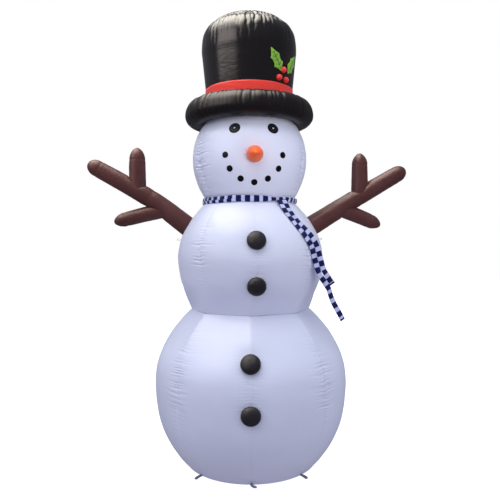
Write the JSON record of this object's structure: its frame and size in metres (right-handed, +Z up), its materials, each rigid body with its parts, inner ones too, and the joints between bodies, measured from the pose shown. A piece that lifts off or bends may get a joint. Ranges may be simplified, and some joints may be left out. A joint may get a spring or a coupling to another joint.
{
  "type": "inflatable yard snowman",
  "caption": "Tall blower-filled fabric snowman with a puffed top hat, twig arms, striped scarf and buttons, which stands on a lawn as a winter decoration.",
  "frame": {"origin": "centre of the underside of the base panel, on the ground", "axes": "+Z up, the snowman faces -Y, +X is to the right of someone who looks at its face"},
  "size_m": [2.2258, 1.3488, 3.05],
  "materials": {
    "snow_nylon": "satin",
    "black_nylon": "satin",
    "button_nylon": "satin",
    "red_nylon": "satin",
    "green_nylon": "satin",
    "orange_nylon": "satin",
    "scarf_fabric": "matte",
    "brown_nylon": "satin",
    "webbing": "matte",
    "blower_plastic": "matte",
    "motor_steel": "satin",
    "zip_nylon": "matte",
    "zip_metal": "satin",
    "cable_sheath": "matte",
    "lamp_plastic": "gloss"
  },
  "bodies": {
    "root": {"base_panel": "snow_nylon", "lower_ball_skin": "snow_nylon", "middle_ball_skin": "snow_nylon", "head_skin": "snow_nylon", "hat_brim": "black_nylon", "hat_crown": "black_nylon", "hat_top_panel": "black_nylon", "eye_left": "black_nylon", "eye_right": "black_nylon", "mouth_dot_1": "black_nylon", "mouth_dot_2": "black_nylon", "mouth_dot_3": "black_nylon", "mouth_dot_4": "black_nylon", "mouth_dot_5": "black_nylon", "mouth_dot_6": "black_nylon", "mouth_dot_7": "black_nylon", "button_1": "button_nylon", "button_2": "button_nylon", "button_3": "button_nylon", "button_4": "button_nylon", "hat_band": "red_nylon", "holly_berry_1": "red_nylon", "holly_berry_2": "red_nylon", "holly_berry_3": "red_nylon", "holly_leaf_left": "green_nylon", "holly_leaf_right": "green_nylon", "nose": "orange_nylon", "scarf_wrap": "scarf_fabric", "tether_loop_1": "webbing", "tether_loop_2": "webbing", "tether_loop_3": "webbing", "tether_loop_4": "webbing", "tether_loop_5": "webbing", "tether_loop_6": "webbing", "tether_tab_left": "webbing", "tether_tab_right": "webbing", "blower_housing": "blower_plastic", "intake_grille": "blower_plastic", "motor_bracket": "blower_plastic", "cord_gland": "blower_plastic", "fan_motor": "motor_steel", "zipper_tape": "zip_nylon", "zipper_coil": "zip_nylon", "light_cable": "cable_sheath", "lamp_1": "lamp_plastic", "lamp_2": "lamp_plastic", "lamp_3": "lamp_plastic"},
    "impeller": {"impeller": "blower_plastic"},
    "zip_slider": {"zipper_slider": "zip_metal"},
    "zip_pull": {"zipper_pull": "zip_metal"},
    "scarf_tail_long": {"scarf_tail_long": "scarf_fabric"},
    "scarf_tail_short": {"scarf_tail_short": "scarf_fabric"},
    "left_arm": {"left_arm_limb": "brown_nylon", "left_arm_upper_twig": "brown_nylon", "left_arm_lower_twig": "brown_nylon"},
    "right_arm": {"right_arm_limb": "brown_nylon", "right_arm_upper_twig": "brown_nylon", "right_arm_lower_twig": "brown_nylon"}
  },
  "joints": [
    {"name": "impeller_spin", "type": "hinge", "parent": "root", "child": "impeller", "pos_m": [0, 0.5694, 0.209], "axis": [0, 0.9036, -0.4284], "continuous": true},
    {"name": "zipper_slide", "type": "hinge", "parent": "root", "child": "zip_slider", "pos_m": [0, 0, 0.43], "axis": [0, 0, 1], "range_deg": [0, 31]},
    {"name": "zipper_pull_lift", "type": "hinge", "parent": "zip_slider", "child": "zip_pull", "pos_m": [0.1783, 0.6396, 0.432], "axis": [0.9633, -0.2685, 0], "range_deg": [0, 80]},
    {"name": "scarf_tail_long_lift", "type": "hinge", "parent": "root", "child": "scarf_tail_long", "pos_m": [0.2065, -0.2587, 1.776], "axis": [-0.7815, -0.6239, 0], "range_deg": [0, 50]},
    {"name": "scarf_tail_short_lift", "type": "hinge", "parent": "root", "child": "scarf_tail_short", "pos_m": [0.2065, -0.2587, 1.776], "axis": [-0.7815, -0.6239, 0], "range_deg": [0, 50]},
    {"name": "left_arm_sway", "type": "hinge", "parent": "root", "child": "left_arm", "pos_m": [-0.4345, -0.0365, 1.614], "axis": [-0.0837, 0.9965, 0], "range_deg": [-10, 10], "stiffness_Nm_per_rad": 40, "springref_deg": 0.76},
    {"name": "right_arm_sway", "type": "hinge", "parent": "root", "child": "right_arm", "pos_m": [0.4404, 0.037, 1.618], "axis": [-0.0837, 0.9965, 0], "range_deg": [-10, 10], "stiffness_Nm_per_rad": 40, "springref_deg": -0.76}
  ]
}
